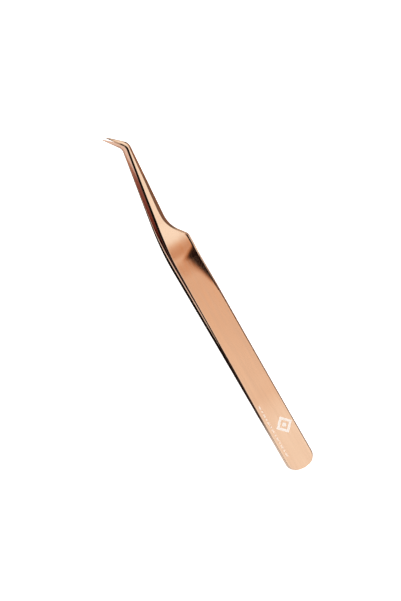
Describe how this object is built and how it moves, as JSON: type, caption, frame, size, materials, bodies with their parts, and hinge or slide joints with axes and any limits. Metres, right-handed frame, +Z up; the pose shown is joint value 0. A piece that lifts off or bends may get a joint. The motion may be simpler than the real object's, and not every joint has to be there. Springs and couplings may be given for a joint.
{
  "type": "angled-tip tweezers",
  "caption": "Slim welded spring tweezers with flat handles, a cut-back shoulder and a fine shank whose needle tips turn about 45 degrees aside.",
  "frame": {"origin": "on the surface the tweezers lie on, under the middle of their length and width", "axes": "+X from the butt end to the tips; +Z up, through the front arm; +Y towards the side the tips bend to"},
  "size_m": [0.125, 0.0094, 0.008],
  "materials": {
    "rose_gold_steel": "polished rose-gold coating on stainless steel",
    "weld_metal": "bare fused steel, hidden between the arms",
    "etched_mark": "fine matt white etching on the front arm"
  },
  "bodies": {
    "tail": {"front_arm_tail": "rose_gold_steel", "rear_arm_tail": "rose_gold_steel", "weld_nuggets": "weld_metal"},
    "front_arm": {"front_arm_blade": "rose_gold_steel"},
    "rear_arm": {"rear_arm_blade": "rose_gold_steel"}
  },
  "joints": [
    {"name": "front_squeeze", "type": "hinge", "parent": "tail", "child": "front_arm", "pos_m": [-0.02682, 0, 0.00331], "axis": [0, 1, 0], "range_deg": [0, 1.7], "stiffness_Nm_per_rad": 1.5},
    {"name": "rear_squeeze", "type": "hinge", "parent": "tail", "child": "rear_arm", "pos_m": [-0.02676, 0, 0.0012], "axis": [0, -1, 0], "range_deg": [0, 1.7], "stiffness_Nm_per_rad": 1.5}
  ],
  "couplings": [
    {"joint": "rear_squeeze", "follows": "front_squeeze", "ratio": 1}
  ]
}
